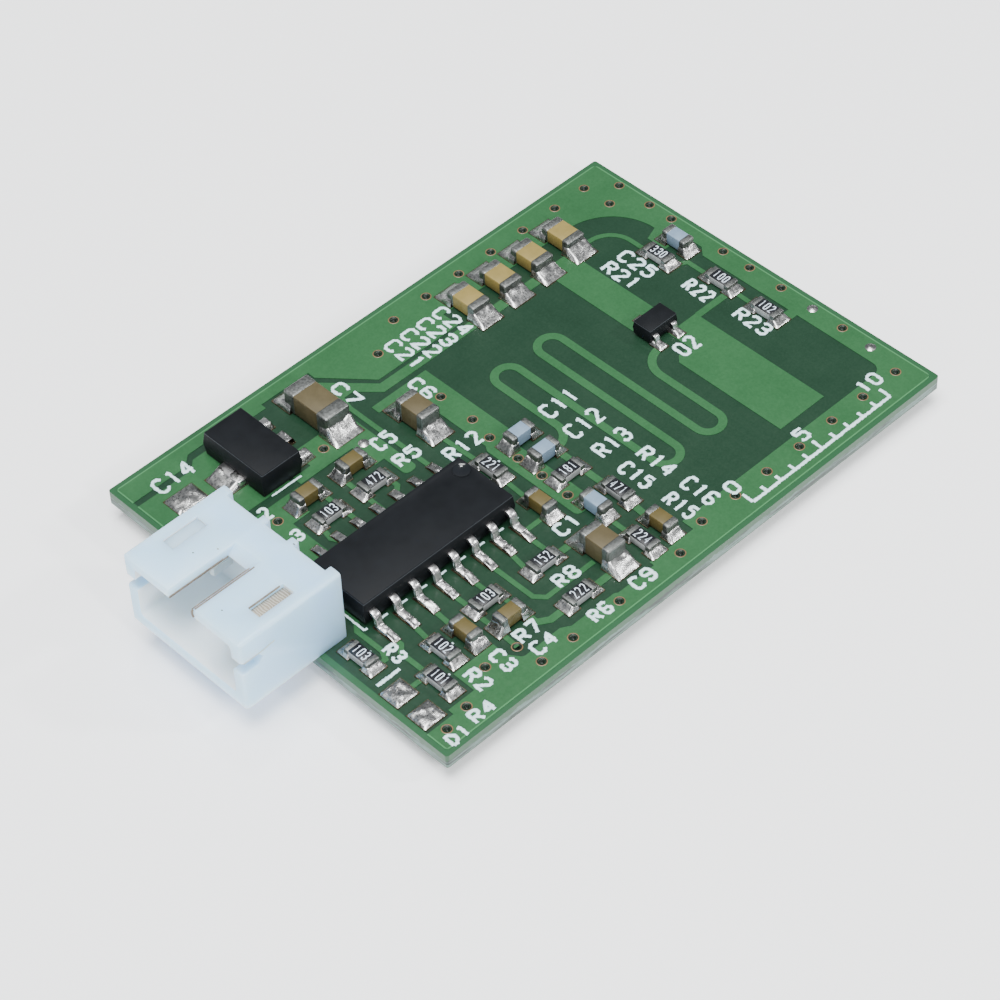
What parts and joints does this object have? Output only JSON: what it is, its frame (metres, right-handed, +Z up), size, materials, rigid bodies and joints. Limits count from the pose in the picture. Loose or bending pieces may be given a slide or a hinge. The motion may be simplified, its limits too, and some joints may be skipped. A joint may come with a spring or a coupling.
{
  "type": "microwave radar sensor module",
  "caption": "Small green circuit board with a meander-line radar aerial and patch, a detector chip, chip parts and a white side-entry wire socket at one end.",
  "frame": {"origin": "middle of the board's flat underside", "axes": "+X along the board from the wire socket to the aerial end, +Y to the board's left seen from the socket, +Z up through the parts"},
  "size_m": [0.0384, 0.024, 0.0062],
  "materials": {
    "board_mask": "green solder mask over bare laminate, soft gloss",
    "masked_copper": "copper under green solder mask, soft gloss",
    "solder": "lumpy bright tin solder",
    "socket_nylon": "natural white nylon, faintly see-through",
    "tinned_contact": "tinned square pin",
    "tinned_lead": "tinned lead",
    "package_black": "fine matte moulding compound",
    "resistor_chip": "grey ceramic with a black glass coat and tinned ends",
    "small_capacitor_tan": "tan ceramic with tinned ends",
    "row_capacitor_tan": "yellow tan ceramic with tinned ends",
    "tall_capacitor_brown": "brown ceramic with tinned ends",
    "white_capacitor": "white ceramic with tinned ends"
  },
  "bodies": {
    "root": {"circuit_board": "board_mask", "ground_copper": "masked_copper", "supply_copper": "masked_copper", "signal_tracks": "masked_copper", "aerial_copper": "masked_copper", "solder_pads": "solder", "connector_housing": "socket_nylon", "contact_pin_1": "tinned_contact", "contact_pin_2": "tinned_contact", "contact_pin_3": "tinned_contact", "pin_solder_1": "solder", "pin_solder_2": "solder", "pin_solder_3": "solder", "capacitor_01": "small_capacitor_tan", "capacitor_02": "small_capacitor_tan", "capacitor_03": "tall_capacitor_brown", "capacitor_04": "tall_capacitor_brown", "capacitor_05": "small_capacitor_tan", "capacitor_06": "small_capacitor_tan", "capacitor_07": "tall_capacitor_brown", "capacitor_08": "small_capacitor_tan", "capacitor_09": "white_capacitor", "capacitor_10": "white_capacitor", "capacitor_11": "white_capacitor", "capacitor_12": "small_capacitor_tan", "capacitor_13": "row_capacitor_tan", "capacitor_14": "row_capacitor_tan", "capacitor_15": "row_capacitor_tan", "capacitor_16": "row_capacitor_tan", "capacitor_17": "white_capacitor", "resistor_01": "resistor_chip", "resistor_02": "resistor_chip", "resistor_03": "resistor_chip", "resistor_04": "resistor_chip", "resistor_05": "resistor_chip", "resistor_06": "resistor_chip", "resistor_07": "resistor_chip", "resistor_08": "resistor_chip", "resistor_09": "resistor_chip", "resistor_10": "resistor_chip", "resistor_11": "resistor_chip", "resistor_12": "resistor_chip", "resistor_13": "resistor_chip", "resistor_14": "resistor_chip", "resistor_15": "resistor_chip", "detector_body": "package_black", "detector_leads_front": "tinned_lead", "detector_leads_back": "tinned_lead", "regulator_body": "package_black", "regulator_leads": "tinned_lead", "transistor_body": "package_black", "transistor_leads": "tinned_lead"}
  },
  "joints": []
}
